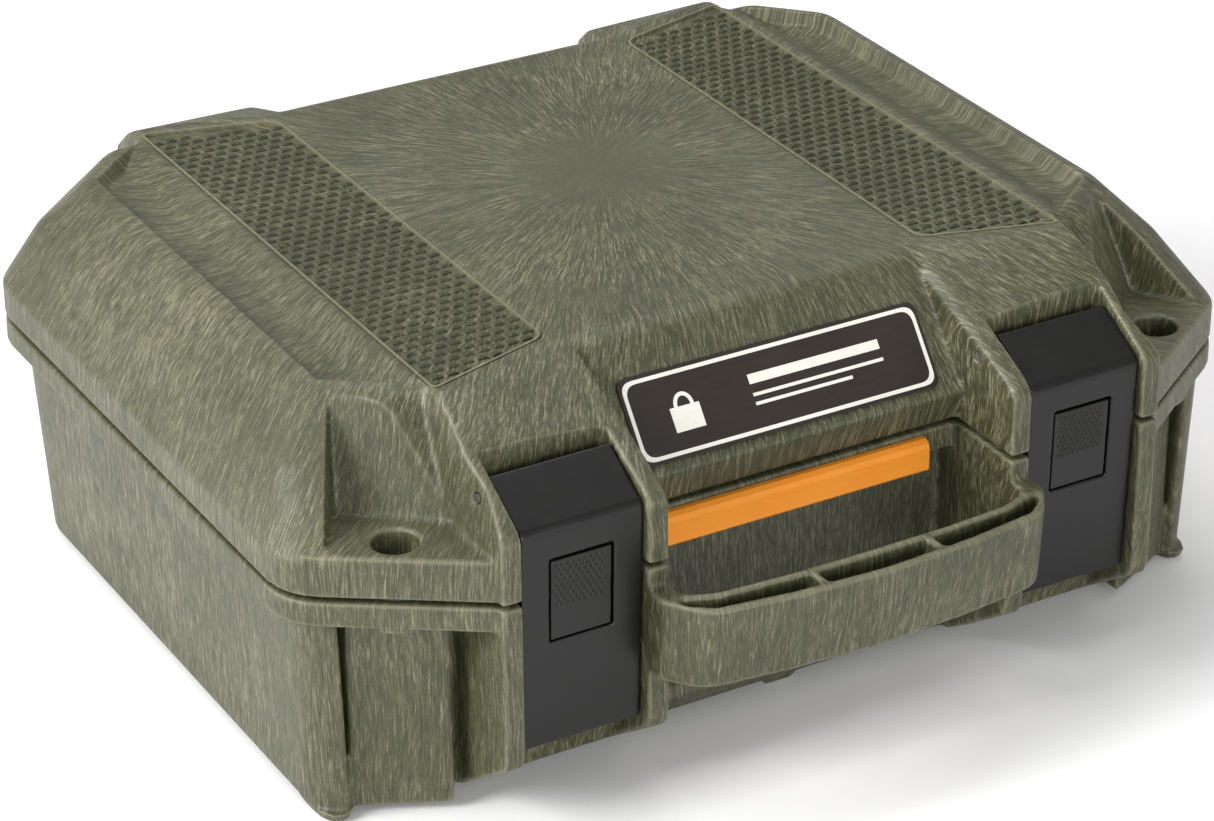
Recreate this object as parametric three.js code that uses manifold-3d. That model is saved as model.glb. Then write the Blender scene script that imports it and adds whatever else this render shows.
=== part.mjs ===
// Moulded pistol case: two hinged shells, two push-button latches, a handle in one with the base.
// Units are millimetres and +Z is up. x = 0 is the plane of symmetry, y is counted from the
// middle of the lid's grip treads towards the hinges, and z = 0 is just above the underside of
// the base. The whole case is then moved, so that it stands on z = 0 with its origin below its middle.
import * as THREE from 'three';
import { ConvexGeometry } from 'three/addons/geometries/ConvexGeometry.js';
import * as BufferGeometryUtils from 'three/addons/utils/BufferGeometryUtils.js';
import Module from 'manifold-3d';

// ---------- driving dimensions ----------
const SHELL_Y = 26.5; // moves the treads' middle back, so the origin is under the whole case
const HALF_WIDTH = 165.3;
const UNDERSIDE_Z = -0.8;
const FOOT_Z = -3.3; // what the case stands on
const PARTING_Z = 74.4;
const PARTING_GAP = 1.6;
const BASE_TOP = PARTING_Z - PARTING_GAP / 2;
const LID_BOTTOM = PARTING_Z + PARTING_GAP / 2;
const FLANGE_UNDER = 65.5;
const CREASE_Z = 86; // top of the lid's upright band
const SHELF_Z = 88.6; // top of the padlock corners
const LID_TOP = 122;
const WALL = 4;
const REAR_Y = 119; // rear edge of both flanges
const TREAD_DEPTH = 1.2;
const FRONT_Y = -122; // front edge of both flanges between the latches
const FINGER_WALL_Y = -113; // base wall behind the handle
const CLEAR = 0.3; // between pieces that touch

// front blocks that carry the latches
const CHEEK_IN = 59.7;
const CHEEK_OUT = 114.3;
const CHEEK_Y = -152;
const LATCH_X = 87.15; // middle of a latch
const LATCH_HALF = 19.75;
const POCKET_HALF = 20.45;
const POCKET_BACK_Y = -134;
const PIVOT = { y: -132.8, z: 100.7 }; // latch pivot axis
const BUTTON_PIVOT = { y: -143.2, z: 61.5 };
const PIN_R = 1.5;
const BUTTON_PIN_R = 1.2;

// hinges
const HINGE = { y: 121, z: PARTING_Z, radius: 4, relief: 4.5 };
const KNUCKLE_START = 62;
const KNUCKLE_PITCH = 10;
const KNUCKLES = 5;

// padlock holes
const PADLOCK = { x: 133.3, y: -123.5, radius: 7 };

const ARC_STEP = Math.PI / 10;

// ---------- solids ----------
const wasm = await Module();
wasm.setup();

const GRID = 0.001; // points are rounded to this, so that faces meant to meet do meet

function solid(geometry) {
  geometry.deleteAttribute('normal');
  geometry.deleteAttribute('uv');
  const points = geometry.attributes.position.array;
  points.forEach((value, i) => {
    points[i] = Math.round(value / GRID) * GRID;
  });
  const merged = BufferGeometryUtils.mergeVertices(geometry, GRID / 10);
  const mesh = new wasm.Mesh({
    numProp: 3,
    vertProperties: new Float32Array(merged.attributes.position.array),
    triVerts: new Uint32Array(merged.index.array),
  });
  return new wasm.Manifold(mesh);
}

function join(solids) {
  return solids.reduce((whole, next) => whole.add(next));
}

function cut(body, tools) {
  return tools.reduce((whole, tool) => whole.subtract(tool), body);
}

function hull(points) {
  return solid(new ConvexGeometry(points.map((p) => new THREE.Vector3(...p))));
}

function shapeOf(points) {
  return new THREE.Shape(points.map(([u, v]) => new THREE.Vector2(u, v)));
}

// outline in x, y drawn up from z0 to z1
function uprightGeometry(outline, z0, z1) {
  const geometry = new THREE.ExtrudeGeometry(shapeOf(outline), { depth: z1 - z0, bevelEnabled: false });
  return geometry.translate(0, 0, z0);
}

function upright(outline, z0, z1) {
  return solid(uprightGeometry(outline, z0, z1));
}

// profile in y, z drawn along x from x0 to x1
function across(profile, x0, x1) {
  const start = Math.min(x0, x1);
  const depth = Math.abs(x1 - x0);
  const geometry = new THREE.ExtrudeGeometry(shapeOf(profile), { depth, bevelEnabled: false });
  const turn = new THREE.Matrix4().set(0, 0, 1, start, 1, 0, 0, 0, 0, 1, 0, 0, 0, 0, 0, 1);
  return solid(geometry.applyMatrix4(turn));
}

function rodGeometry(radius, x0, x1, y, z, sides = 16) {
  const geometry = new THREE.CylinderGeometry(radius, radius, Math.abs(x1 - x0), sides);
  return geometry.rotateZ(Math.PI / 2).translate((x0 + x1) / 2, y, z);
}

function rod(radius, x0, x1, y, z, sides) {
  return solid(rodGeometry(radius, x0, x1, y, z, sides));
}

function post(radius, x, y, z0, z1, sides = 24) {
  const geometry = new THREE.CylinderGeometry(radius, radius, z1 - z0, sides);
  return solid(geometry.rotateX(Math.PI / 2).translate(x, y, (z0 + z1) / 2));
}

function block(x0, x1, y0, y1, z0, z1) {
  const geometry = new THREE.BoxGeometry(Math.abs(x1 - x0), Math.abs(y1 - y0), Math.abs(z1 - z0));
  return solid(geometry.translate((x0 + x1) / 2, (y0 + y1) / 2, (z0 + z1) / 2));
}

// ---------- outlines ----------
// corners are [x, y, radius]; each is rounded by an arc of its radius
function rounded(corners) {
  const outline = [];
  corners.forEach(([x, y, radius = 0], i) => {
    if (radius === 0) {
      outline.push([x, y]);
      return;
    }
    const corner = new THREE.Vector2(x, y);
    const before = new THREE.Vector2(...corners.at(i - 1)).sub(corner).normalize();
    const after = new THREE.Vector2(...corners[(i + 1) % corners.length]).sub(corner).normalize();
    const opening = Math.acos(THREE.MathUtils.clamp(before.dot(after), -1, 1));
    const turn = Math.PI - opening;
    const reach = radius / Math.tan(opening / 2);
    const start = corner.clone().addScaledVector(before, reach);
    const inward = before.clone().add(after).normalize();
    const middle = corner.clone().addScaledVector(inward, radius / Math.sin(opening / 2));
    const spin = Math.sign(before.cross(after)) * -1;
    const steps = Math.max(1, Math.ceil(turn / ARC_STEP));
    for (let step = 0; step <= steps; step += 1) {
      const point = start.clone().rotateAround(middle, (spin * turn * step) / steps);
      outline.push([point.x, point.y]);
    }
  });
  return outline;
}

// adds the mirror image in x of a half outline that runs from the front middle to the rear middle
function bothHalves(half) {
  const mirrored = half.filter(([x]) => x !== 0).map(([x, ...rest]) => [-x, ...rest]).reverse();
  return [...half, ...mirrored];
}

// moves every edge of a closed outline outwards by distance; corners keep their radii
function grown(corners, distance) {
  const area = corners.reduce((sum, [x, y], i) => {
    const [nextX, nextY] = corners[(i + 1) % corners.length];
    return sum + x * nextY - nextX * y;
  }, 0);
  const outward = Math.sign(area);
  const normal = (from, to) => {
    const length = Math.hypot(to[0] - from[0], to[1] - from[1]);
    return [(outward * (to[1] - from[1])) / length, (-outward * (to[0] - from[0])) / length];
  };
  return corners.map((corner, i) => {
    const before = normal(corners.at(i - 1), corner);
    const after = normal(corner, corners[(i + 1) % corners.length]);
    const scale = distance / (1 + before[0] * after[0] + before[1] * after[1]);
    const [x, y, radius = 0] = corner;
    const moved = [x + (before[0] + after[0]) * scale, y + (before[1] + after[1]) * scale];
    return radius === 0 ? moved : [...moved, Math.max(0.5, radius + distance)];
  });
}

const ring = (outline, z) => outline.map(([x, y]) => [x, y, z]);
const sided = (side, points) => points.map(([x, ...rest]) => [side * x, ...rest]);

// both flanges, seen from above, with the latch blocks and the slanted padlock corners
const flangeOutline = rounded(bothHalves([
  [0, FRONT_Y],
  [CHEEK_IN, FRONT_Y],
  [CHEEK_IN, CHEEK_Y, 2],
  [CHEEK_OUT, CHEEK_Y, 2],
  [CHEEK_OUT, -149.4],
  [HALF_WIDTH, -114.9, 20],
  [HALF_WIDTH, 97.9, 20],
  [134.1, REAR_Y, 8],
  [0, REAR_Y],
]));

// mouth of the room inside, the same in base and lid
const mouthCorners = bothHalves([
  [0, -108.5],
  [123.8, -108.5, 8],
  [157, -79, 12],
  [157, 86.5, 14],
  [130.5, 107.8, 8],
  [0, 107.8],
]);

// ---------- lid ----------
const lidBandCorners = (frontY) => bothHalves([
  [0, frontY],
  [148.9, frontY, 5],
  [HALF_WIDTH, -114.9, 18],
  [HALF_WIDTH, 97.9, 20],
  [134.1, REAR_Y, 8],
  [0, REAR_Y],
]);

const lidTopCorners = bothHalves([
  [0, -98],
  [121.2, -98, 8],
  [140, -77.9, 8],
  [140, 79, 8],
  [121.2, 99, 8],
  [0, 99],
]);

// the sides and rear bulge a little half way up; the front stays flat for the name plate
const lidWaistCorners = bothHalves([
  [0, -111],
  [135.5, -111, 6],
  [154.3, -95.5, 12],
  [154.3, 90, 14],
  [129, 110.7, 8],
  [0, 110.7],
]);

function lidBody() {
  return hull([
    ...ring(rounded(lidBandCorners(FRONT_Y)), LID_BOTTOM),
    ...ring(rounded(lidBandCorners(-126)), CREASE_Z),
    ...ring(rounded(lidWaistCorners), 105),
    ...ring(rounded(grown(lidTopCorners, 1.8)), LID_TOP - 2.5),
    ...ring(rounded(grown(lidTopCorners, -0.8)), LID_TOP - 1),
    ...ring(rounded(grown(lidTopCorners, -4)), LID_TOP),
  ]);
}

// block over one latch, from the lid's top down to the parting line
function latchHousing(side) {
  return hull(sided(side, [
    [58, -90, LID_TOP], [66, -95, LID_TOP], [89, -103, LID_TOP], [109, -107, LID_TOP], [112, -88, LID_TOP],
    [61, -100, 120.4], [89, -107.4, 120.4], [110, -111, 120.4],
    [61.4, -109, 116.9], [108.8, -116.6, 117.2],
    [60.3, -150, 97.6], [113.8, -150, 97.6],
    [60, CHEEK_Y, 94.5], [CHEEK_OUT, CHEEK_Y, 94.5],
    [CHEEK_IN, CHEEK_Y, LID_BOTTOM], [CHEEK_OUT, CHEEK_Y, LID_BOTTOM],
    [CHEEK_IN, -112, LID_BOTTOM], [116.5, -118, LID_BOTTOM], [116, -121, SHELF_Z],
  ]));
}

function hingeHousing(side) {
  return hull(sided(side, [
    [58, 90, LID_TOP], [66, 95, LID_TOP], [89, 103, LID_TOP], [109, 106, LID_TOP], [112, 88, LID_TOP],
    [61, 100, 120.4], [89, 107.4, 120.4], [110, 110, 120.4],
    [64, 114, 117.6], [109, 115, 117.6],
    [63.5, 120, 112], [111, 120, 112],
    [CHEEK_IN, REAR_Y, LID_BOTTOM], [CHEEK_OUT, REAR_Y, LID_BOTTOM],
    [CHEEK_IN, 108, LID_BOTTOM], [CHEEK_OUT, 108, LID_BOTTOM],
  ]));
}

function padlockShelf(side) {
  const outline = [[108, -108], [CHEEK_OUT, -149.4], [156.3, -121], [160.6, -117.4], [146, -96]];
  return upright(sided(side, outline), LID_BOTTOM, SHELF_Z);
}

// room above the shelf that a padlock's body needs
function padlockRoom(side) {
  const above = LID_TOP + 8;
  return hull(sided(side, [
    [141, -100, SHELF_Z], [115, -122.5, SHELF_Z], [116.8, -156, SHELF_Z], [160, -129, SHELF_Z],
    [133.2, -82.2, above], [112.5, -110, above], [104, -160, above], [155, -117, above],
  ]));
}

function padlockHole(side, z0, z1) {
  return post(PADLOCK.radius, side * PADLOCK.x, PADLOCK.y, z0, z1);
}

// shallow trough in the lid's top between a tread and the side
function sideTrough(side) {
  const top = LID_TOP + 0.5;
  const floor = LID_TOP - 4.5;
  return hull(sided(side, [
    [111.5, -98.8, top], [135.7, -80.2, top], [135.7, 80.2, top], [111.5, 99.2, top],
    [122, -86, floor], [133, -77.5, floor], [133, 77.5, floor], [122, 86.4, floor],
  ]));
}

function treadRecess(side) {
  const outline = rounded([[65.1, -90.4, 5], [110, -104.1, 2], [110, 104.1, 2], [65.1, 91.4, 5]]);
  return upright(sided(side, outline), LID_TOP - TREAD_DEPTH, LID_TOP + 1);
}

// where the latch lies: a step at the top, then a flat back behind the latch
function lidLatchPocket(side) {
  const profile = [
    [-126.3, LID_TOP + 5], [-126.3, 97], [POCKET_BACK_Y, 88], [POCKET_BACK_Y, LID_BOTTOM - 1],
    [-170, LID_BOTTOM - 1], [-170, LID_TOP + 5],
  ];
  return across(profile, side * (LATCH_X - POCKET_HALF), side * (LATCH_X + POCKET_HALF));
}

function lidRoom() {
  const roof = bothHalves([[0, -93], [98, -93, 6], [102, -84, 4], [102, 86, 4], [98, 94, 6], [0, 94]]);
  const shoulder = bothHalves([
    [0, -99], [117, -99, 6], [140.5, -77, 8], [140.5, 76, 8], [117, 98, 6], [0, 98],
  ]);
  return hull([
    ...ring(rounded(mouthCorners), LID_BOTTOM - 1),
    ...ring(rounded(grown(mouthCorners, -1)), CREASE_Z),
    ...ring(rounded(shoulder), 110.5),
    ...ring(rounded(roof), LID_TOP - WALL - 0.3),
  ]);
}

// ---------- hinges ----------
function hingeCircle(radius) {
  const sides = 16;
  return Array.from({ length: sides }, (_, i) => {
    const angle = ((i + 0.5) * 2 * Math.PI) / sides;
    return [HINGE.y + radius * Math.cos(angle), HINGE.z + radius * Math.sin(angle)];
  });
}

function knuckleSpan(index) {
  const start = KNUCKLE_START + index * KNUCKLE_PITCH;
  return [start + CLEAR, start + KNUCKLE_PITCH - CLEAR];
}

// the lid has the odd knuckles and the base the even ones; up is 1 for the lid, -1 for the base
function knuckle(side, index, up) {
  const [x0, x1] = knuckleSpan(index);
  const web = [[116.5, HINGE.z + up * 11.5], [118.8, HINGE.z + up * 11.5], [116.5, HINGE.z + up * 1.2]];
  const section = [...hingeCircle(HINGE.radius), ...web];
  return hull([x0, x1].flatMap((x) => section.map(([y, z]) => [side * x, y, z])));
}

function knuckleRelief(side, index) {
  const start = KNUCKLE_START + index * KNUCKLE_PITCH;
  return rod(HINGE.relief, side * start, side * (start + KNUCKLE_PITCH), HINGE.y, HINGE.z);
}

function hingeBore(side) {
  const end = KNUCKLE_START + KNUCKLES * KNUCKLE_PITCH;
  return rod(PIN_R + CLEAR, side * (KNUCKLE_START - 1), side * (end + 1), HINGE.y, HINGE.z);
}

function withKnuckles(shell, side, isMine, up) {
  let result = shell;
  const indices = Array.from({ length: KNUCKLES }, (_, i) => i);
  result = cut(result, indices.filter((i) => !isMine(i)).map((i) => knuckleRelief(side, i)));
  result = join([result, ...indices.filter(isMine).map((i) => knuckle(side, i, up))]);
  return result.subtract(hingeBore(side));
}

// ---------- name plate ----------
const FRONT_SLOPE = Math.atan2(LID_TOP - CREASE_Z, 126 - 98);
const PLATE = { width: 104.6, height: 27.2, thick: 0.8, y: -115.4, corner: 3 };

// profile of the lid's front slope at a given y
const slopeZ = (y) => CREASE_Z + (y + 126) * Math.tan(FRONT_SLOPE);

function platePlaced(geometry, lift) {
  const out = [-Math.sin(FRONT_SLOPE) * lift, Math.cos(FRONT_SLOPE) * lift];
  return geometry.rotateX(FRONT_SLOPE).translate(0, PLATE.y + out[0], slopeZ(PLATE.y) + out[1]);
}

function plateGeometry(grow, thick) {
  const halfWidth = PLATE.width / 2 + grow;
  const halfHeight = PLATE.height / 2 + grow;
  const outline = rounded([
    [-halfWidth, -halfHeight, PLATE.corner], [halfWidth, -halfHeight, PLATE.corner],
    [halfWidth, halfHeight, PLATE.corner], [-halfWidth, halfHeight, PLATE.corner],
  ]);
  return new THREE.ExtrudeGeometry(shapeOf(outline), { depth: thick, bevelEnabled: false });
}

// ---------- base ----------
// how much the base draws in towards its foot, as a share of the distance from its middle
const BODY_TAPER = { side: 0.0184, front: 0.012, rear: 0.055 };

function baseBody() {
  const outline = rounded(bothHalves([
    [0, -111], [150.5, -103], [150.5, -121.9, 2], [160.8, -115, 15],
    [160.8, 91, 19], [130.5, REAR_Y - 2.2, 8], [0, REAR_Y - 2.2],
  ]));
  const geometry = uprightGeometry(outline, UNDERSIDE_Z, BASE_TOP);
  const position = geometry.attributes.position;
  for (let i = 0; i < position.count; i += 1) {
    if (position.getZ(i) < PARTING_Z / 2) {
      const y = position.getY(i);
      position.setX(i, position.getX(i) * (1 - BODY_TAPER.side));
      position.setY(i, y * (1 - (y < 0 ? BODY_TAPER.front : BODY_TAPER.rear)));
    }
  }
  return solid(geometry);
}

// set-back panel below a padlock corner, with a slot on its outer side and a channel on its inner
function cornerPanel(side) {
  const panel = [[119.5, -98], [119.5, -130.2], [147, -116.9], [147, -84]];
  const slotFloor = [[146, -84], [146, -107.2], [152, -103.2], [152, -84]];
  const channelFloor = [[112, -98], [112, -123.6], [121, -117.6], [121, -98]];
  return join([
    upright(sided(side, panel), UNDERSIDE_Z, FLANGE_UNDER + 1),
    upright(sided(side, slotFloor), UNDERSIDE_Z, FLANGE_UNDER + 1),
    upright(sided(side, channelFloor), UNDERSIDE_Z, FLANGE_UNDER + 1),
  ]);
}

function padlockBoss(side) {
  return post(11, side * PADLOCK.x, PADLOCK.y, FLANGE_UNDER - 1.5, FLANGE_UNDER + 1, 20);
}

function latchBlock(side) {
  const profile = [
    [-106, BASE_TOP], [CHEEK_Y, BASE_TOP], [CHEEK_Y, 23], [-150.5, 19], [-131, 5.5],
    [-121, UNDERSIDE_Z], [-106, UNDERSIDE_Z],
  ];
  return across(profile, side * CHEEK_IN, side * CHEEK_OUT);
}

function baseLatchPocket(side) {
  const profile = [
    [POCKET_BACK_Y, BASE_TOP + 1], [POCKET_BACK_Y, 20], [-129.5, 7], [-129.5, -2],
    [-170, -2], [-170, BASE_TOP + 1],
  ];
  return across(profile, side * (LATCH_X - POCKET_HALF), side * (LATCH_X + POCKET_HALF));
}

// ledge on the pocket's back that the latch's hook closes in front of
function keeper(side) {
  const profile = [[-133, 56], [-139, 53], [-139, 48], [-133, 48]];
  return across(profile, side * (LATCH_X - 8), side * (LATCH_X + 8));
}

function hingeBlock(side) {
  const profile = [[104, BASE_TOP], [REAR_Y, BASE_TOP], [REAR_Y, 34], [114.5, 20], [104, 20]];
  return across(profile, side * CHEEK_IN, side * CHEEK_OUT);
}

function lowerLip() {
  const profile = [
    [-108, 26], [FINGER_WALL_Y, 24], [-126.3, 13.5], [-128, 10],
    [-118.5, UNDERSIDE_Z], [-108, UNDERSIDE_Z],
  ];
  return across(profile, -CHEEK_IN - 2, CHEEK_IN + 2);
}

function baseRoom() {
  return hull([
    ...ring(rounded(grown(mouthCorners, -6)), UNDERSIDE_Z + WALL),
    ...ring(rounded(grown(mouthCorners, -2.5)), UNDERSIDE_Z + WALL + 8),
    ...ring(rounded(mouthCorners), BASE_TOP + 1),
  ]);
}

const GASKET = { inner: 1.6, outer: 4.0, groove: 0.3, depth: 2.2, height: 2.9 };

function loop(innerGrow, outerGrow, z0, z1) {
  const outer = upright(rounded(grown(mouthCorners, outerGrow)), z0, z1);
  const inner = upright(rounded(grown(mouthCorners, innerGrow)), z0 - 1, z1 + 1);
  return outer.subtract(inner);
}

function gasketGroove() {
  const { inner, outer, groove, depth } = GASKET;
  return loop(inner - groove, outer + groove, BASE_TOP - depth, BASE_TOP + 1);
}

function gasket() {
  const bottom = BASE_TOP - GASKET.depth + CLEAR;
  return loop(GASKET.inner, GASKET.outer, bottom, bottom + GASKET.height - CLEAR);
}

// feet and the small lugs along the front edge
const FEET = [
  { x: 141, y: 86, halfX: 7, halfY: 7 },
  { x: 100, y: -113, halfX: 7, halfY: 5 },
  { x: 74, y: -113, halfX: 4.5, halfY: 5 },
];

function foot({ x, y, halfX, halfY }, side) {
  const draft = 1.5;
  const square = (grow, z) => [[-1, -1], [1, -1], [1, 1], [-1, 1]]
    .map(([u, v]) => [side * (x + u * (halfX + grow)), y + v * (halfY + grow), z]);
  return hull([...square(0, UNDERSIDE_Z + 0.5), ...square(-draft, FOOT_Z)]);
}

// under the pillar at each front corner
const CORNER_FOOT = { x: 151.5, y: -111, drawnIn: 0.84 };

function cornerFoot(side) {
  const outline = bothHalves([[0, -9.5], [3, -8.5], [5.2, -4.5], [6, 1], [6, 8]]);
  const scaled = (share, z) => outline
    .map(([x, y]) => [side * (CORNER_FOOT.x + share * x), CORNER_FOOT.y + share * y, z]);
  return hull([...scaled(1, UNDERSIDE_Z + 0.5), ...scaled(CORNER_FOOT.drawnIn, FOOT_Z)]);
}

// ---------- handle ----------
const HANDLE = { low: 39.5, high: 67, lean: 3.6, floor: 42.3 };

// upright solid of the handle, drawn in towards the case at its foot; the front leans most
function leaning(outline, z0, z1) {
  const geometry = uprightGeometry(outline, z0, z1);
  const position = geometry.attributes.position;
  for (let i = 0; i < position.count; i += 1) {
    const reach = THREE.MathUtils.clamp((-position.getY(i) - 156) / 20, 0, 1);
    const drop = (HANDLE.high - position.getZ(i)) / (HANDLE.high - HANDLE.low);
    position.setY(i, position.getY(i) + HANDLE.lean * reach * drop);
  }
  return solid(geometry);
}

function handleBar() {
  const outline = rounded(bothHalves([
    [0, -178], [30, -176.4], [58, -172.6, 12], [67, -159, 8], [66.7, -149],
    [CHEEK_IN, -149], [CHEEK_IN, -158.5, 5], [50, -162.4, 4], [30, -163.8], [0, -164.4],
  ]).reverse());
  return leaning(outline, HANDLE.low, HANDLE.high);
}

function handlePockets() {
  const middle = [[-18.8, -167], [0, -167.2], [18.8, -167], [18.8, -173.9], [0, -174.9], [-18.8, -173.9]];
  const end = [
    [21.4, -167], [21.4, -173.8], [30, -173.2], [54.5, -169.8],
    [61, -165], [63, -160.8], [60, -161.6], [50.5, -165.2],
  ];
  return [middle, end, sided(-1, end)].map((outline) => leaning(outline, HANDLE.floor, HANDLE.high + 1));
}

// ---------- front trim bar ----------
const TRIM = { halfWidth: 47.5, low: 61.8, high: 72.3, front: -126.3, peg: 2, pegX: 36, pegReach: 6 };

function trimBar() {
  const back = FRONT_Y - CLEAR;
  const profile = [
    [back, TRIM.low], [back, TRIM.high], [TRIM.front + 2.2, TRIM.high], [TRIM.front + 0.6, TRIM.high - 0.9],
    [TRIM.front, TRIM.high - 2.6], [TRIM.front, TRIM.low + 0.8], [TRIM.front + 0.8, TRIM.low],
  ];
  const pegZ = (FLANGE_UNDER + BASE_TOP) / 2;
  const pegs = [-1, 1].map((side) => {
    const geometry = new THREE.CylinderGeometry(TRIM.peg, TRIM.peg, TRIM.pegReach + 1, 12);
    return solid(geometry.translate(side * TRIM.pegX, back + (TRIM.pegReach - 1) / 2, pegZ));
  });
  return join([across(profile, -TRIM.halfWidth, TRIM.halfWidth), ...pegs]);
}

function trimHoles() {
  const pegZ = (FLANGE_UNDER + BASE_TOP) / 2;
  return [-1, 1].map((side) => {
    const geometry = new THREE.CylinderGeometry(TRIM.peg + CLEAR, TRIM.peg + CLEAR, TRIM.pegReach + 2, 12);
    return solid(geometry.translate(side * TRIM.pegX, FRONT_Y + TRIM.pegReach / 2, pegZ));
  });
}

// ---------- shells ----------
function buildLid() {
  let lid = join([
    lidBody(),
    upright(flangeOutline, LID_BOTTOM, CREASE_Z),
    ...[-1, 1].flatMap((side) => [latchHousing(side), hingeHousing(side), padlockShelf(side)]),
  ]);
  lid = cut(lid, [-1, 1].flatMap((side) => [
    padlockRoom(side),
    padlockHole(side, LID_BOTTOM - 1, SHELF_Z + 1),
    sideTrough(side),
    treadRecess(side),
    lidLatchPocket(side),
    rod(PIN_R + CLEAR, side * (CHEEK_IN - 1), side * 112.4, PIVOT.y, PIVOT.z, 12),
    block(side * 70.5, side * 103.8, -129.5, -113.5, LID_BOTTOM - 1, 86),
  ]));
  lid = lid.subtract(lidRoom());
  lid = lid.subtract(solid(platePlaced(plateGeometry(0.5, 5), -0.4)));
  for (const side of [-1, 1]) {
    lid = withKnuckles(lid, side, (i) => i % 2 === 1, 1);
  }
  return lid;
}

function buildBase() {
  const frontWall = block(-CHEEK_OUT, CHEEK_OUT, -100, FINGER_WALL_Y, UNDERSIDE_Z, BASE_TOP);
  let base = join([
    baseBody(),
    frontWall,
    lowerLip(),
    handleBar(),
    upright(flangeOutline, FLANGE_UNDER, BASE_TOP),
    ...[-1, 1].flatMap((side) => [
      cornerPanel(side), padlockBoss(side), latchBlock(side), hingeBlock(side),
      cornerFoot(side), ...FEET.map((spot) => foot(spot, side)),
    ]),
    foot({ x: 0, y: -114, halfX: 6, halfY: 5 }, 1),
  ]);
  base = cut(base, [
    ...[-1, 1].flatMap((side) => [
      padlockHole(side, FLANGE_UNDER - 6, BASE_TOP + 1),
      baseLatchPocket(side),
      block(side * 70.5, side * 103.8, -130, -116.5, 12, BASE_TOP + 1),
    ]),
    ...handlePockets(),
    ...trimHoles(),
  ]);
  base = join([base, keeper(-1), keeper(1)]);
  base = cut(base, [baseRoom(), gasketGroove()]);
  for (const side of [-1, 1]) {
    base = withKnuckles(base, side, (i) => i % 2 === 0, -1);
  }
  return base;
}

// ---------- foam ----------
const FOAM_GAP = 0.8;
const LOWER_PAD_TOP = 16;
const BASE_FOAM_TOP = 44;
const LID_FOAM_BOTTOM = 84;

function lowerPad() {
  return hull([
    ...ring(rounded(grown(mouthCorners, -6 - FOAM_GAP)), UNDERSIDE_Z + WALL + CLEAR),
    ...ring(rounded(grown(mouthCorners, -2.5 - FOAM_GAP)), LOWER_PAD_TOP),
  ]);
}

function baseFoam() {
  const outline = rounded(grown(mouthCorners, -2.5 - FOAM_GAP));
  return upright(outline, LOWER_PAD_TOP + CLEAR, BASE_FOAM_TOP);
}

function lidFoam() {
  const shoulder = bothHalves([
    [0, -97.5], [115.5, -97.5, 6], [138.5, -76, 8], [138.5, 75, 8], [115.5, 96.5, 6], [0, 96.5],
  ]);
  const roof = bothHalves([[0, -91], [96, -91, 6], [100, -83, 4], [100, 85, 4], [96, 92, 6], [0, 92]]);
  return hull([
    ...ring(rounded(grown(mouthCorners, -2)), LID_FOAM_BOTTOM),
    ...ring(rounded(shoulder), 108.5),
    ...ring(rounded(roof), 115.8),
  ]);
}

// ---------- latches ----------
const LATCH_FRONT = { topY: -149.9, topZ: 95, bottomY: -147.9, bottomZ: 22.6 };
const LATCH_SHEET = 2.4;

// the latch's front face at a given height
function frontFaceY(z) {
  const { topY, topZ, bottomY, bottomZ } = LATCH_FRONT;
  return bottomY + ((z - bottomZ) * (topY - bottomY)) / (topZ - bottomZ);
}

function latchBody(side) {
  const { topY, topZ, bottomY, bottomZ } = LATCH_FRONT;
  const outside = [
    [-129.4, 104.4], [-131.2, 105.6], [-148.6, 95.75], [topY + 0.2, topZ - 0.9], [topY, topZ - 2.5],
    [bottomY, bottomZ], [-138, bottomZ], [-138, 88], [-128.6, 98.5],
  ];
  const inside = [
    [-124, 101.6], [-131.6, 102.7], [-147.3, 93.6], [frontFaceY(90) + LATCH_SHEET, 90],
    [frontFaceY(25) + LATCH_SHEET, 25], [-124, 25],
  ];
  const x = (offset) => side * (LATCH_X + offset);
  const cover = across(outside, x(-LATCH_HALF), x(LATCH_HALF));
  const hollow = across(inside, x(-LATCH_HALF + 2.2), x(LATCH_HALF - 2.2));
  const earProfile = [
    [-147.6, 66.5], [-147.6, 56.5], [-142.5, 57.5], [-139.9, 60], [-139.9, 63], [-142.5, 65.5],
  ];
  const ears = [-1, 1].map((end) => across(earProfile, x(end * 10.7), x(end * 14.5)));
  const buttonOpening = block(x(-10.5), x(10.5), -153, -144, 57.1, 84.9);
  return cut(join([cover.subtract(hollow), ...ears]), [
    buttonOpening,
    rod(PIN_R + CLEAR, x(-30), x(30), PIVOT.y, PIVOT.z, 12),
    rod(BUTTON_PIN_R + CLEAR, x(-14.6), x(14.6), BUTTON_PIVOT.y, BUTTON_PIVOT.z, 12),
  ]);
}

// rocks on its pin: the textured top goes in and the hook at the tail's end comes out
function latchButton(side) {
  const profile = [
    [frontFaceY(83.9) + 0.3, 83.9], [frontFaceY(57.5) + 0.3, 57.5], [-146, 57.5],
    [-144.6, 56.2], [-144.3, 44], [-139.4, 44], [-139.4, 46.6], [-142, 48.5], [-141.6, 58],
    [-140.1, 60.2], [-140.1, 62.8], [-141.8, 65], [-146.5, 66.6], [-147, 83.9],
  ];
  const x = (offset) => side * (LATCH_X + offset);
  const lever = across(profile, x(-10), x(10));
  const springRoom = block(x(-4.4), x(4.4), -146.4, -137, 57.4, 67.2);
  const legRoom = block(x(-4.4), x(-2), -142.6, -137, 52, 58);
  const bore = rod(BUTTON_PIN_R + CLEAR, x(-11), x(11), BUTTON_PIVOT.y, BUTTON_PIVOT.z, 12);
  return cut(lever, [springRoom, legRoom, bore]);
}

const SPRING = { radius: 2.2, wire: 0.35, turns: 4, pitch: 1.1, legUp: 6.8, legDown: 5.5, perTurn: 10 };

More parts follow.
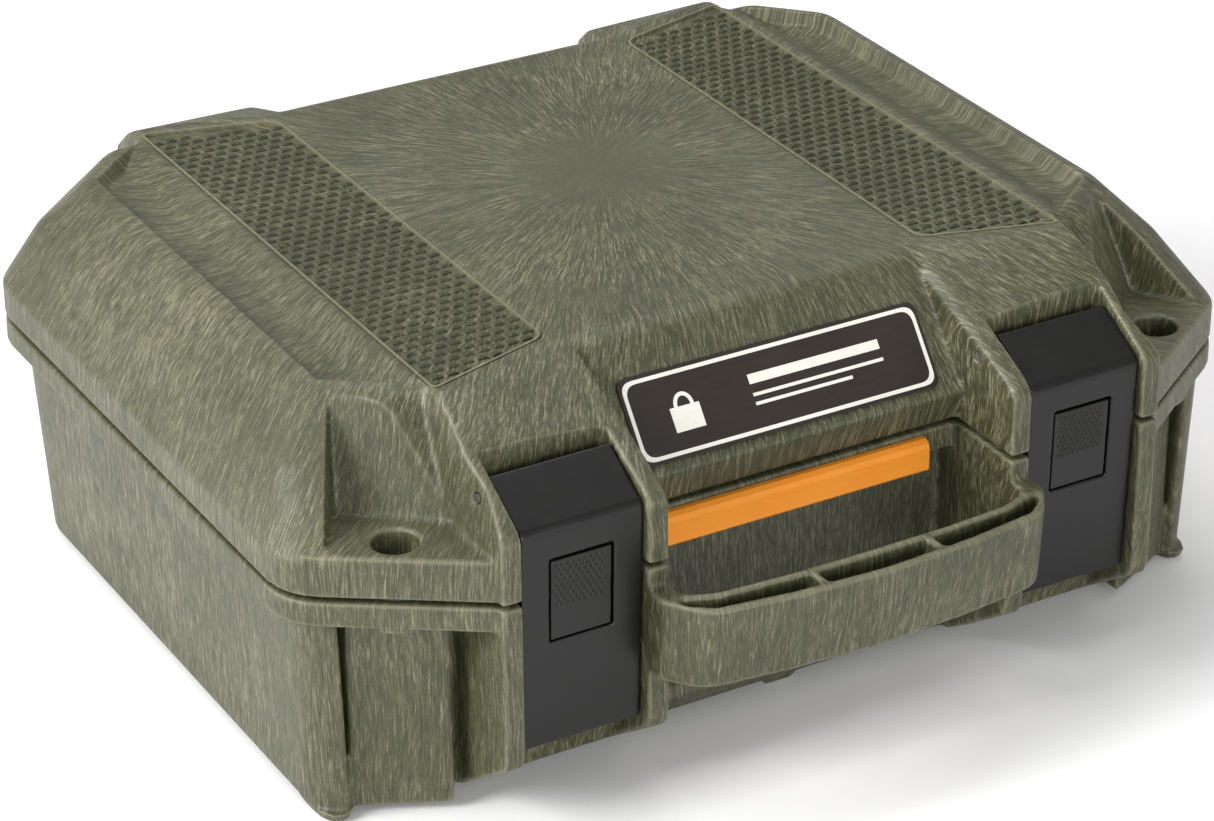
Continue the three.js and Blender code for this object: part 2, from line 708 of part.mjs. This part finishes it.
// torsion spring round the button's pin, with one leg up behind the button and one down
function springGeometry(side) {
  const middle = side * LATCH_X;
  const halfLength = (SPRING.turns * SPRING.pitch) / 2;
  const at = (x, y, z) => new THREE.Vector3(x, BUTTON_PIVOT.y + y, BUTTON_PIVOT.z + z);
  const points = [
    at(middle + halfLength, -SPRING.radius, SPRING.legUp),
    at(middle + halfLength, -SPRING.radius, SPRING.legUp / 2),
  ];
  const steps = (SPRING.turns + 0.5) * SPRING.perTurn;
  for (let step = 0; step <= steps; step += 1) {
    const angle = Math.PI + (step * 2 * Math.PI) / SPRING.perTurn;
    const x = middle + halfLength - (step / steps) * 2 * halfLength;
    points.push(at(x, SPRING.radius * Math.cos(angle), SPRING.radius * Math.sin(angle)));
  }
  points.push(at(middle - halfLength, SPRING.radius, -SPRING.legDown / 2 - 1));
  const path = new THREE.CatmullRomCurve3(points, false, 'catmullrom', 0.5);
  const section = new THREE.Shape();
  section.absarc(0, 0, SPRING.wire, 0, Math.PI * 2);
  const options = { steps: 64, curveSegments: 3, bevelEnabled: false, extrudePath: path };
  return new THREE.ExtrudeGeometry(section, options);
}

// ---------- assembly ----------
const MATERIALS = {
  olive_shell: new THREE.MeshStandardMaterial({ color: 0x585b41, roughness: 0.55 }),
  black_latch: new THREE.MeshStandardMaterial({ color: 0x2b2826, roughness: 0.42 }),
  orange_trim: new THREE.MeshStandardMaterial({ color: 0xde852d, roughness: 0.45 }),
  plate: new THREE.MeshStandardMaterial({ color: 0x241f1c, roughness: 0.35 }),
  foam: new THREE.MeshStandardMaterial({ color: 0x2a2a2c, roughness: 0.95 }),
  rubber: new THREE.MeshStandardMaterial({ color: 0x17181a, roughness: 0.8 }),
  steel: new THREE.MeshStandardMaterial({ color: 0xa9abad, roughness: 0.3, metalness: 1 }),
};

const pistolCase = new THREE.Group();
pistolCase.position.set(0, SHELL_Y, -FOOT_Z);

function place(name, shape, material) {
  let geometry = shape;
  if (!shape.isBufferGeometry) {
    const result = shape.getMesh();
    geometry = new THREE.BufferGeometry();
    geometry.setAttribute('position', new THREE.BufferAttribute(result.vertProperties, 3));
    geometry.setIndex(new THREE.BufferAttribute(result.triVerts, 1));
    geometry.computeVertexNormals();
  }
  const mesh = new THREE.Mesh(geometry, MATERIALS[material]);
  mesh.name = name;
  pistolCase.add(mesh);
}

place('base_shell', buildBase(), 'olive_shell');
place('lid_shell', buildLid(), 'olive_shell');
place('rim_gasket', gasket(), 'rubber');
place('lower_foam_pad', lowerPad(), 'foam');
place('base_foam', baseFoam(), 'foam');
place('lid_foam', lidFoam(), 'foam');
place('front_trim_bar', trimBar(), 'orange_trim');
place('name_plate', platePlaced(plateGeometry(0, PLATE.thick), -0.1), 'plate');

function hingePin(side) {
  const end = KNUCKLE_START + KNUCKLES * KNUCKLE_PITCH;
  return rodGeometry(PIN_R, side * (KNUCKLE_START + 0.5), side * (end - 0.5), HINGE.y, HINGE.z);
}

function latchPin(side) {
  return rodGeometry(PIN_R, side * (CHEEK_IN + 0.6), side * 112, PIVOT.y, PIVOT.z);
}

function buttonPin(side) {
  const [x0, x1] = [-1, 1].map((end) => side * (LATCH_X + end * 14.3));
  return rodGeometry(BUTTON_PIN_R, x0, x1, BUTTON_PIVOT.y, BUTTON_PIVOT.z, 12);
}

for (const [name, side] of [['left', -1], ['right', 1]]) {
  place(`${name}_hinge_pin`, hingePin(side), 'steel');
  place(`${name}_latch_cover`, latchBody(side), 'black_latch');
  place(`${name}_latch_pin`, latchPin(side), 'steel');
  place(`${name}_latch_button`, latchButton(side), 'black_latch');
  place(`${name}_button_pin`, buttonPin(side), 'steel');
  place(`${name}_button_spring`, springGeometry(side), 'steel');
}

export default pistolCase;
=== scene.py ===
import math

import bmesh
import bpy
import numpy as np
from mathutils import Matrix, Vector
from mathutils.bvhtree import BVHTree


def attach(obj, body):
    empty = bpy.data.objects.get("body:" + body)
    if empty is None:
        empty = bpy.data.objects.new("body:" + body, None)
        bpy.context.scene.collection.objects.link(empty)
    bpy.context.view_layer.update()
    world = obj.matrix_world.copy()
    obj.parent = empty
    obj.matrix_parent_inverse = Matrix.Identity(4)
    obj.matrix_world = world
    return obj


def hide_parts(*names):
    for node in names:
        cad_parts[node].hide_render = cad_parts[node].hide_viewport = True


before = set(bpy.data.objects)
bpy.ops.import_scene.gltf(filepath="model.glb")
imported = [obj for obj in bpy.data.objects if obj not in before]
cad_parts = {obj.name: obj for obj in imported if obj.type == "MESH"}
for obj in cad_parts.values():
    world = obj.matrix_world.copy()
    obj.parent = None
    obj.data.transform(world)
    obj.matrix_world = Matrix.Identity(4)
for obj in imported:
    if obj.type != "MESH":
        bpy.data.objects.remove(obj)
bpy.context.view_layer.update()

MM = 0.001
SHELL_Y = 26.5  # the shells' own y = 0, in the row frame, in millimetres
SHELL_Z = 3.3  # the shells' own z = 0, in the row frame
LID_TOP = 122.0
TREAD_FLOOR = 120.8


def at(x, y, z):
    """A point given in the shells' own millimetres, in the row frame's metres."""
    return Vector((x * MM, (y + SHELL_Y) * MM, (z + SHELL_Z) * MM))


# ---------- camera ----------
CAMERA = {
    "place": (-0.56375, -0.97759, 0.65451),
    "azimuth": -29.58,
    "elevation": 28.05,
    "roll": -0.44,
    "lens": 118.03,
    "sensor": 36.0,
}


def make_camera():
    a, e, r = (math.radians(CAMERA[k]) for k in ("azimuth", "elevation", "roll"))
    back = Vector((math.sin(a) * math.cos(e), -math.cos(a) * math.cos(e), math.sin(e)))
    level = (-back).cross(Vector((0, 0, 1))).normalized()
    upright = level.cross(-back)
    right = math.cos(r) * level + math.sin(r) * upright
    up = math.cos(r) * upright - math.sin(r) * level
    data = bpy.data.cameras.new("camera")
    data.lens = CAMERA["lens"]
    data.sensor_width = CAMERA["sensor"]
    data.clip_start = 0.05
    camera = bpy.data.objects.new("camera", data)
    turn = Matrix((right, up, back)).transposed().to_4x4()
    camera.matrix_world = Matrix.Translation(CAMERA["place"]) @ turn
    bpy.context.scene.collection.objects.link(camera)
    bpy.context.scene.camera = camera


# ---------- node trees ----------
class Tree:
    """Short calls for building a material's nodes."""

    def __init__(self, name):
        self.material = bpy.data.materials.new(name)
        self.material.use_nodes = True
        self.tree = self.material.node_tree
        self.shader = self.tree.nodes["Principled BSDF"]

    def node(self, kind, inputs=(), **settings):
        node = self.tree.nodes.new("ShaderNode" + kind)
        for key, value in settings.items():
            setattr(node, key, value)
        for key, value in dict(inputs).items():
            self.put(node.inputs[key], value)
        return node

    def put(self, socket, value):
        if isinstance(value, bpy.types.NodeSocket):
            self.tree.links.new(value, socket)
        else:
            socket.default_value = value

    def math(self, operation, *values, clamp=False):
        return self.node("Math", enumerate(values), operation=operation, use_clamp=clamp).outputs[0]

    def vector(self, operation, *values):
        node = self.node("VectorMath", enumerate(values), operation=operation)
        return node.outputs["Value" if operation in ("LENGTH", "DOT_PRODUCT") else "Vector"]

    def scaled(self, vector, factor):
        return self.node("VectorMath", {0: vector, "Scale": factor}, operation="SCALE").outputs["Vector"]

    def split(self, vector):
        return self.node("SeparateXYZ", {0: vector}).outputs

    def joined(self, x, y, z):
        return self.node("CombineXYZ", {0: x, 1: y, 2: z}).outputs[0]

    def mix(self, factor, a, b):
        return self.node("Mix", {"Factor": factor, "A": a, "B": b}, data_type="FLOAT").outputs["Result"]

    def blend(self, factor, a, b):
        """A mix of two colours."""
        node = self.node("Mix", data_type="RGBA")
        for index, value in ((0, factor), (6, a), (7, b)):
            self.put(node.inputs[index], value)
        return node.outputs[2]

    def noise(self, vector, scale, detail=2.0, roughness=0.5):
        inputs = {"Vector": vector, "Scale": scale, "Detail": detail, "Roughness": roughness}
        return self.node("TexNoise", inputs).outputs["Fac"]

    def span(self, value, low, high, to_low=0.0, to_high=1.0):
        inputs = {0: value, 1: low, 2: high, 3: to_low, 4: to_high}
        return self.node("MapRange", inputs, clamp=True).outputs[0]

    def soft_span(self, value, low, high):
        inputs = {0: value, 1: low, 2: high}
        return self.node("MapRange", inputs, interpolation_type="SMOOTHSTEP").outputs[0]

    def bump(self, height, strength, distance_mm, normal=None):
        inputs = {"Height": height, "Strength": strength, "Distance": distance_mm * MM}
        if normal is not None:
            inputs["Normal"] = normal
        return self.node("Bump", inputs).outputs[0]

    def place(self):
        """The object's own coordinates, in millimetres."""
        return self.scaled(self.node("TexCoord").outputs["Object"], 1 / MM)

    def finish(self, **sockets):
        for name, value in sockets.items():
            self.put(self.shader.inputs[name.replace("_", " ")], value)
        return self.material


def srgb(red, green, blue):
    """A screen colour from 0 to 255 as linear light."""
    values = [c / 255 for c in (red, green, blue)]
    return (*[v / 12.92 if v <= 0.04045 else ((v + 0.055) / 1.055) ** 2.4 for v in values], 1.0)


# ---------- moulded plastic ----------
OLIVE_DARK = srgb(50, 51, 32)
OLIVE = srgb(90, 89, 64)
OLIVE_PALE = srgb(140, 138, 112)


def spread_streaks(t, offset, along, width, length):
    """Streaks that run outwards from a gate: offset is the way from the gate in its plane."""
    radius = t.math("MAXIMUM", t.vector("LENGTH", offset), 3.0)
    outward = t.vector("NORMALIZE", offset)
    octave = t.math("LOGARITHM", radius, 2.0)
    step = t.math("FLOOR", octave)
    share = t.soft_span(t.math("SUBTRACT", octave, step), 0.25, 0.75)
    layers = []
    for lift in (0.0, 1.0):
        ring = t.math("POWER", 2.0, t.math("ADD", step, lift))
        around = t.scaled(outward, t.math("DIVIDE", ring, width))
        depth = t.joined(0.0, 0.0, t.math("DIVIDE", along, length))
        layers.append(t.noise(t.vector("ADD", around, depth), 1.0, 2.5, 0.6))
    return t.mix(share, *layers)


def moulded_plastic(name, gate, lid, painted_shade=0.0, edge_wear_and_highlight=0.35):
    """Olive plastic with the pale fibrous flow marks that run away from its gate; the pale streaks are
    partly a painted sheen.
    """
    t = Tree(name)
    place = t.place()
    drift = t.node("TexNoise", {"Vector": place, "Scale": 0.02, "Detail": 1.0}).outputs["Color"]
    curl = t.scaled(t.vector("SUBTRACT", drift, (0.5, 0.5, 0.5)), 9.0)
    offset = t.vector("SUBTRACT", t.vector("ADD", place, curl), gate)
    x, y, z = (t.split(offset)[k] for k in range(3))
    flat = t.joined(x, y, 0.0)
    along = t.math("ADD", t.vector("LENGTH", flat), t.math("ABSOLUTE", z))
    fine = spread_streaks(t, flat, along, 0.17, 4.0)
    broad = spread_streaks(t, flat, along, 0.7, 12.0)
    streak = t.math("ADD", t.math("MULTIPLY", fine, 0.6), t.math("MULTIPLY", broad, 0.4))
    cloud = t.noise(place, 0.025, 2.0)
    grit = t.noise(place, 1.6, 2.0, 0.7)
    calm = 1.0
    if lid:
        calm = t.soft_span(t.vector("LENGTH", flat), 8.0, 46.0)
        calm = t.math("ADD", t.math("MULTIPLY", calm, 0.8), 0.2)
    contrast = t.math("MULTIPLY", t.math("SUBTRACT", streak, 0.5), calm)
    # Darkens the whole material by the given amount: painted shade, used on the treads for the shadow
    # that falls between the scales.
    tone = t.math("ADD", t.math("MULTIPLY", contrast, 5.2), 0.38 - painted_shade)
    tone = t.math("ADD", tone, t.math("MULTIPLY", t.math("SUBTRACT", cloud, 0.5), 0.5))
    tone = t.math("ADD", tone, t.math("MULTIPLY", t.math("SUBTRACT", grit, 0.5), 0.6), clamp=True)
    # Pale rolled edges: partly stress-whitened wear, partly a painted highlight where light catches the
    # edges.
    edge = t.soft_span(t.node("NewGeometry").outputs["Pointiness"], 0.505, 0.55)
    # The pale streaks are flow marks in the plastic and partly a painted sheen, the light caught by its
    # fibrous surface.
    colour = t.blend(tone, OLIVE_DARK, OLIVE)
    colour = t.blend(t.span(tone, 0.5, 1.0, 0.0, 0.55), colour, OLIVE_PALE)
    colour = t.blend(t.math("MULTIPLY", edge, edge_wear_and_highlight), colour, OLIVE_PALE)
    relief = t.math("ADD", contrast, t.math("MULTIPLY", grit, 0.25))
    normal = t.bump(relief, 0.55, 0.35)
    rough = t.span(tone, 0.0, 1.0, 0.5, 0.38)
    return t.finish(Base_Color=colour, Roughness=rough, Normal=normal, Specular_IOR_Level=0.5)


def satin_plastic(name, colour, pale, roughness, grain=2.2, bump=0.12):
    """Plain moulded plastic with a fine grain and faint scuffs."""
    t = Tree(name)
    place = t.place()
    scuff = t.noise(t.vector("MULTIPLY", place, (0.12, 0.12, 0.9)), 1.0, 3.0, 0.6)
    cloud = t.noise(place, 0.05, 2.0)
    tone = t.math("MULTIPLY", t.math("ADD", scuff, cloud), 0.5)
    # Pale edges: partly wear, partly a painted highlight where light catches the edges.
    edge = t.soft_span(t.node("NewGeometry").outputs["Pointiness"], 0.52, 0.62)
    tint = t.blend(t.span(tone, 0.3, 0.7), colour, pale)
    tint = t.blend(t.math("MULTIPLY", edge, 0.25), tint, pale)
    normal = t.bump(t.noise(place, grain, 2.0), bump, 0.1)
    rough = t.span(tone, 0.3, 0.7, roughness - 0.05, roughness + 0.06)
    return t.finish(Base_Color=tint, Roughness=rough, Normal=normal, Specular_IOR_Level=0.4)


def foam_material(name, colour, pale):
    t = Tree(name)
    place = t.place()
    cells = t.node("TexVoronoi", {"Vector": place, "Scale": 1.1}, feature="F1").outputs["Distance"]
    cloud = t.noise(place, 0.08, 3.0)
    tone = t.math("ADD", t.math("MULTIPLY", cells, 0.7), t.math("MULTIPLY", cloud, 0.4))
    tint = t.blend(t.span(tone, 0.2, 0.9), colour, pale)
    normal = t.bump(cells, 0.5, 0.5)
    return t.finish(Base_Color=tint, Roughness=0.95, Normal=normal)


def steel_material(name):
    t = Tree(name)
    place = t.place()
    drawn = t.noise(t.vector("MULTIPLY", place, (0.1, 2.0, 2.0)), 2.0, 3.0)
    tint = t.blend(drawn, srgb(150, 152, 154), srgb(205, 206, 208))
    rough = t.span(drawn, 0.3, 0.7, 0.22, 0.36)
    return t.finish(Base_Color=tint, Metallic=1.0, Roughness=rough, Normal=t.bump(drawn, 0.1, 0.05))


# ---------- mesh work ----------
def new_object(name, mesh):
    obj = bpy.data.objects.new(name, mesh)
    bpy.context.scene.collection.objects.link(obj)
    return obj


def welded_copy(node, name):
    """A CAD node's mesh as a new object, with its split corners joined again."""
    mesh = bmesh.new()
    mesh.from_mesh(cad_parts[node].data)
    bmesh.ops.remove_doubles(mesh, verts=mesh.verts, dist=0.002 * MM)
    data = bpy.data.meshes.new(name)
    mesh.to_mesh(data)
    mesh.free()
    return new_object(name, data)


def applied(obj):
    """Turns the object's modifiers into its mesh."""
    depsgraph = bpy.context.evaluated_depsgraph_get()
    mesh = bpy.data.meshes.new_from_object(obj.evaluated_get(depsgraph))
    obj.modifiers.clear()
    obj.data = mesh
    return obj


def moulded(node, name, voxel, rounds, faces):
    """The node's shape with its edges rolled over, as a mould leaves them."""
    obj = welded_copy(node, name)
    remesh = obj.modifiers.new("remesh", "REMESH")
    remesh.mode = "VOXEL"
    remesh.voxel_size = voxel * MM
    smooth = obj.modifiers.new("smooth", "SMOOTH")
    smooth.factor = 0.5
    smooth.iterations = rounds
    applied(obj)
    if len(obj.data.polygons) * 2 > faces:
        thin = obj.modifiers.new("thin", "DECIMATE")
        thin.ratio = faces / (2 * len(obj.data.polygons))
        applied(obj)
    obj.data.shade_smooth()
    return obj


def add_piece(obj, body, slot, material, *nodes):
    obj.data.materials.clear()
    obj.data.materials.append(material)
    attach(obj, body)
    if nodes:
        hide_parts(*nodes)
    return obj


def paint(node, material):
    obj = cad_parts[node]
    obj.data.materials.clear()
    obj.data.materials.append(material)


# ---------- floor and light ----------
def area_light(name, place, aim, size, power, colour=(1, 1, 1)):
    data = bpy.data.lights.new(name, "AREA")
    data.shape = "RECTANGLE"
    data.size, data.size_y = size
    data.energy = power
    data.color = colour
    light = bpy.data.objects.new(name, data)
    light.location = place
    light.rotation_euler = (Vector(aim) - Vector(place)).to_track_quat("-Z", "Y").to_euler()
    bpy.context.scene.collection.objects.link(light)


def make_studio():
    mesh = bpy.data.meshes.new("floor")
    half = 6.0
    corners = [(-half, -half, 0), (half, -half, 0), (half, half, 0), (-half, half, 0)]
    mesh.from_pydata(corners, [], [(0, 1, 2, 3)])
    floor = new_object("floor", mesh)
    t = Tree("floor_paper")
    grain = t.noise(t.place(), 0.05, 3.0)
    paper = t.blend(grain, srgb(238, 238, 238), srgb(243, 243, 243))
    floor.data.materials.append(t.finish(Base_Color=paper, Roughness=0.9))
    world = bpy.data.worlds.new("studio")
    world.use_nodes = True
    world.node_tree.nodes["Background"].inputs[0].default_value = (1, 1, 1, 1)
    world.node_tree.nodes["Background"].inputs[1].default_value = 0.5
    bpy.context.scene.world = world
    middle = (0, 0, 0.06)
    area_light("key", (-1.5, 0.1, 0.95), middle, (0.9, 0.9), 36)
    area_light("top", (0.1, 0.6, 1.7), middle, (1.4, 0.8), 15)
    area_light("front", (-0.2, -1.6, 0.5), middle, (1.2, 0.5), 14)
    view = bpy.context.scene.view_settings
    view.view_transform = "Standard"


# ---------- pieces ----------
SIDES = (("left", -1), ("right", 1))
LID_GATE = (5.0, SHELL_Y + 4.4, LID_TOP + SHELL_Z)
BASE_GATE = (0.0, SHELL_Y, 2.5)
SHELL_FACES = 190000


def make_shells():
    voxel = 0.75
    lid = moulded("lid_shell", "lid_moulding", voxel, 9, SHELL_FACES)
    lid_plastic = moulded_plastic("lid_plastic", LID_GATE, True)
    add_piece(lid, "lid", "olive_shell", lid_plastic, "lid_shell")
    base = moulded("base_shell", "base_moulding", voxel, 8, SHELL_FACES)
    base_plastic = moulded_plastic("base_plastic", BASE_GATE, False)
    add_piece(base, "base", "olive_shell", base_plastic, "base_shell")


# a raised scale: steep in front, running out to nothing behind, in millimetres
SCALE_POINTS = (
    (-1.85, 0, -0.2), (1.85, 0, -0.2), (-1.6, 0.1, 0.45), (1.6, 0.1, 0.45),
    (-0.75, 0.35, 1.1), (0.75, 0.35, 1.1), (-0.95, 3.9, -0.2), (0.95, 3.9, -0.2),
)


def many_scales(name, frames, size):
    """One mesh of scales, one at each frame, whose third axis points away from the surface."""
    mesh = bmesh.new()
    for matrix in frames:
        verts = [mesh.verts.new(matrix @ (Vector(p) * size * MM)) for p in SCALE_POINTS]
        bmesh.ops.convex_hull(mesh, input=verts)
    bmesh.ops.recalc_face_normals(mesh, faces=mesh.faces)
    data = bpy.data.meshes.new(name)
    mesh.to_mesh(data)
    mesh.free()
    return new_object(name, data)


TREAD_INNER, TREAD_OUTER = 65.1, 110.0
PITCH_X, PITCH_Y = 4.86, 4.25


def tread_ends(x):
    """The tread's front and rear edge at a distance x from the middle of the case."""
    share = (x - TREAD_INNER) / (TREAD_OUTER - TREAD_INNER)
    return -90.4 - 13.7 * share, 91.4 + 12.7 * share


def tread_outline(inset):
    corners = []
    inner, outer = TREAD_INNER + inset, TREAD_OUTER - inset
    for x, end in ((inner, 0), (outer, 0), (outer, 1), (inner, 1)):
        y = tread_ends(x)[end] + (inset if end == 0 else -inset)
        corners.append((x, y))
    return corners


def cut_corners(corners, radii, steps=6):
    """The outline with each corner turned into an arc-like curve."""
    points = []
    count = len(corners)
    for i, (corner, radius) in enumerate(zip(corners, radii)):
        c, before, after = (Vector(corners[k % count]) for k in (i, i - 1, i + 1))
        start = c + (before - c).normalized() * radius
        end = c + (after - c).normalized() * radius
        for k in range(steps + 1):
            u = k / steps
            points.append(start * (1 - u) ** 2 + c * 2 * u * (1 - u) + end * u ** 2)
    return points


def raised_line(name, outer, inner, low, high, place):
    """A closed ridge between two outlines with the same number of points."""
    mesh = bmesh.new()
    section = ((outer, low), (outer, high), (inner, high), (inner, low))
    rings = [[mesh.verts.new(place(p.x, p.y, z)) for p in line] for line, z in section]
    count = len(outer)
    for a, b in zip(rings, rings[1:] + rings[:1]):
        for i in range(count):
            j = (i + 1) % count
            mesh.faces.new((a[i], a[j], b[j], b[i]))
    bmesh.ops.recalc_face_normals(mesh, faces=mesh.faces)
    data = bpy.data.meshes.new(name)
    mesh.to_mesh(data)
    mesh.free()
    return new_object(name, data)


def make_treads():
    # The tread plastic is darkened with painted shade for the shadow between the scales, and its edges
    # get no pale wear or painted highlight.
    plastic = moulded_plastic("tread_plastic", LID_GATE, True, painted_shade=0.3, edge_wear_and_highlight=0.0)
    rim_plastic = bpy.data.materials["lid_plastic"]
    for name, side in SIDES:
        frames = []
        rows = int(200 / PITCH_Y)
        for row in range(rows):
            y = -101.5 + row * PITCH_Y
            for column in range(10):
                x = TREAD_INNER + 3.0 + (column + 0.5 * (row % 2)) * PITCH_X
                front, rear = tread_ends(x)
                if x < TREAD_OUTER - 2.6 and front + 1.6 < y < rear - 5.2:
                    frames.append(Matrix.Translation(at(side * x, y, TREAD_FLOOR)))
        scales = many_scales(f"{name}_tread_scales", frames, 1.0)
        add_piece(scales, "lid", "olive_shell", plastic)
        radii = (5.0, 2.0, 2.0, 5.0)
        outer, inner = (cut_corners(tread_outline(d), radii) for d in (0.5, 1.3))
        rim = raised_line(
            f"{name}_tread_rim", outer, inner, TREAD_FLOOR - 0.1, LID_TOP - 0.05,
            lambda x, y, z, s=side: at(s * x, y, z),
        )
        add_piece(rim, "lid", "olive_shell", rim_plastic)


def plate_frame():
    """The name plate's middle, its two directions and the way it faces, from its CAD mesh."""
    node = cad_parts["name_plate"]
    best = max((f for f in node.data.polygons if f.normal.y < 0), key=lambda f: f.area)
    out = best.normal.copy()
    right = Vector((1, 0, 0))
    up = out.cross(right).normalized()
    up = up if up.z > 0 else -up
    points = [v.co for v in node.data.vertices]
    height = max(p.dot(out) for p in points)
    ups = [p.dot(up) for p in points]
    middle = up * (max(ups) + min(ups)) / 2 + out * height
    half = ((max(ups) - min(ups)) / 2, max(p.x for p in points))
    return middle, right, up, out, half


# three plain bars and a padlock's body: left, low, right and high, in millimetres on the plate
PLATE_BARS = ((-10, 2.2, 36, 5.2), (-10, -1.6, 36, -0.6), (-10, -4.4, 24, -3.4), (-38, -6, -28, 1.5))


def make_plate_marks():
    middle, right, up, out, (half_up, half_right) = plate_frame()
    pale = satin_plastic("plate_pale", srgb(206, 204, 196), srgb(226, 224, 216), 0.4)

    def place(x, y, z):
        return middle + (right * x + up * y + out * z) * MM

    def box_line(inset):
        w, h = half_right / MM - inset, half_up / MM - inset
        return cut_corners([(-w, -h), (w, -h), (w, h), (-w, h)], (4.0,) * 4)

    border = raised_line("plate_border", box_line(1.1), box_line(2.3), -0.1, 0.12, place)
    add_piece(border, "lid", "plate", pale)
    for index, (left, low, right_end, high) in enumerate(PLATE_BARS):
        outline = [(left, low), (right_end, low), (right_end, high), (left, high)]
        line = [Vector(p) for p in outline]
        centre = sum(line, Vector((0, 0))) / 4
        core = [centre + (p - centre) * 0.02 for p in line]
        mark = raised_line(f"plate_mark_{index}", line, core, -0.1, 0.1, place)
        add_piece(mark, "lid", "plate", pale)
    # the padlock's bow
    turns = np.linspace(0, math.pi, 13)
    arch = [Vector((-33 + 3.4 * math.cos(a), 1.5 + 4.2 * math.sin(a))) for a in turns]
    inside = [Vector((-33 + 2.2 * math.cos(a), 1.5 + 3.0 * math.sin(a))) for a in turns[::-1]]
    ring = arch + inside
    bow = bmesh.new()
    top = [bow.verts.new(place(p.x, p.y, 0.1)) for p in ring]
    low = [bow.verts.new(place(p.x, p.y, -0.1)) for p in ring]
    count = len(ring)
    for i in range(12):
        bow.faces.new((top[i], top[i + 1], top[count - 2 - i], top[count - 1 - i]))
        bow.faces.new((low[i + 1], low[i], low[count - 1 - i], low[count - 2 - i]))
    for i in range(count):
        j = (i + 1) % count
        bow.faces.new((top[i], low[i], low[j], top[j]))
    bmesh.ops.recalc_face_normals(bow, faces=bow.faces)
    data = bpy.data.meshes.new("plate_mark_bow")
    bow.to_mesh(data)
    bow.free()
    add_piece(new_object("plate_mark_bow", data), "lid", "plate", pale)


def make_button_scales(rubbed):
    """Small scales on the upper part of each latch button, set on its front face."""
    for name, side in SIDES:
        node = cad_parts[f"{name}_latch_button"]
        mesh = node.data
        mesh.calc_loop_triangles()
        points = [v.co for v in mesh.vertices]
        tree = BVHTree.FromPolygons(points, [t.vertices for t in mesh.loop_triangles])
        frames = []
        for row in range(9):
            for column in range(9):
                x = side * 87.15 - 7.6 + (column + 0.5 * (row % 2)) * 1.9
                z = 68.5 + row * 1.65
                if abs(x - side * 87.15) > 8.4:
                    continue
                spot, normal, _, _ = tree.ray_cast(at(x, -190, z), Vector((0, 1, 0)))
                if spot is None:
                    continue
                across = Vector((1, 0, 0))
                along = normal.cross(across).normalized()
                turn = Matrix((across, along, normal)).transposed().to_4x4()
                frames.append(Matrix.Translation(spot) @ turn)
        scales = many_scales(f"{name}_button_scales", frames, 0.46)
        add_piece(scales, f"{name}_button", "black_latch", rubbed)


def shaped_foam(node, name, voxel, shape):
    """A foam pad from its CAD solid, softened and then shaped by a height function in millimetres."""
    obj = moulded(node, name, voxel, 3, 90000)
    count = len(obj.data.vertices)
    flat = np.empty(count * 3)
    obj.data.vertices.foreach_get("co", flat)
    points = flat.reshape(-1, 3) / MM
    points[:, 2] += shape(points)
    obj.data.vertices.foreach_set("co", (points * MM).ravel())
    obj.data.update()
    return obj


def egg_crate(points):
    """Waves in the underside of the lid's pad, cut upwards into it."""
    low = points[:, 2].min()
    reach = np.clip(1 - (points[:, 2] - low) / 16, 0, 1)
    wave = np.cos(points[:, 0] * 2 * np.pi / 26) * np.cos(points[:, 1] * 2 * np.pi / 26)
    return reach * (1 - wave) * 4.0


def pick_grid(points):
    """Shallow cuts in the top of the base's pad, where blocks can be picked out."""
    top = points[:, 2].max()
    reach = np.clip(1 - (top - points[:, 2]) / 5, 0, 1)
    cuts = [np.exp(-(((points[:, k] + 7.5) % 15 - 7.5) / 1.3) ** 2) for k in (0, 1)]
    return -reach * 1.8 * np.maximum(*cuts)


def no_shape(points):
    return np.zeros(len(points))


def make_foam():
    voxel = 1.6
    pads = (
        ("lower_foam_pad", "base", no_shape),
        ("base_foam", "base", pick_grid),
        ("lid_foam", "lid", egg_crate),
    )
    foam = foam_material("grey_foam", srgb(30, 30, 32), srgb(58, 58, 60))
    for node, body, shape in pads:
        pad = shaped_foam(node, f"{node}_soft", voxel, shape)
        add_piece(pad, body, "grey_foam", foam, node)


def make_latches():
    black = satin_plastic("latch_black", srgb(6, 6, 5), srgb(13, 12, 11), 0.34)
    for name, _ in SIDES:
        cover = moulded(f"{name}_latch_cover", f"{name}_latch_moulding", 0.4, 3, 60000)
        add_piece(cover, f"{name}_latch", "black_latch", black, f"{name}_latch_cover")
        button = moulded(f"{name}_latch_button", f"{name}_button_moulding", 0.35, 2, 30000)
        add_piece(button, f"{name}_button", "black_latch", black, f"{name}_latch_button")
    rubbed = satin_plastic("button_grip", srgb(18, 17, 16), srgb(34, 32, 30), 0.46)
    make_button_scales(rubbed)


def make_small_parts():
    steel = steel_material("drawn_steel")
    for name, _ in SIDES:
        for node in ("hinge_pin", "latch_pin", "button_pin", "button_spring"):
            paint(f"{name}_{node}", steel)
    orange = satin_plastic("trim_orange", srgb(232, 136, 32), srgb(242, 152, 46), 0.4)
    paint("front_trim_bar", orange)
    paint("rim_gasket", satin_plastic("seal_black", srgb(20, 20, 22), srgb(34, 34, 36), 0.7))
    paint("name_plate", satin_plastic("plate_dark", srgb(34, 28, 24), srgb(46, 40, 35), 0.35))
    for node, width in (("front_trim_bar", 1.2), ("rim_gasket", 0.4)):
        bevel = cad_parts[node].modifiers.new("rolled edges", "BEVEL")
        bevel.width = width * MM
        bevel.segments = 3


make_camera()
make_studio()
make_shells()
make_treads()
make_latches()
make_small_parts()
make_plate_marks()
make_foam()
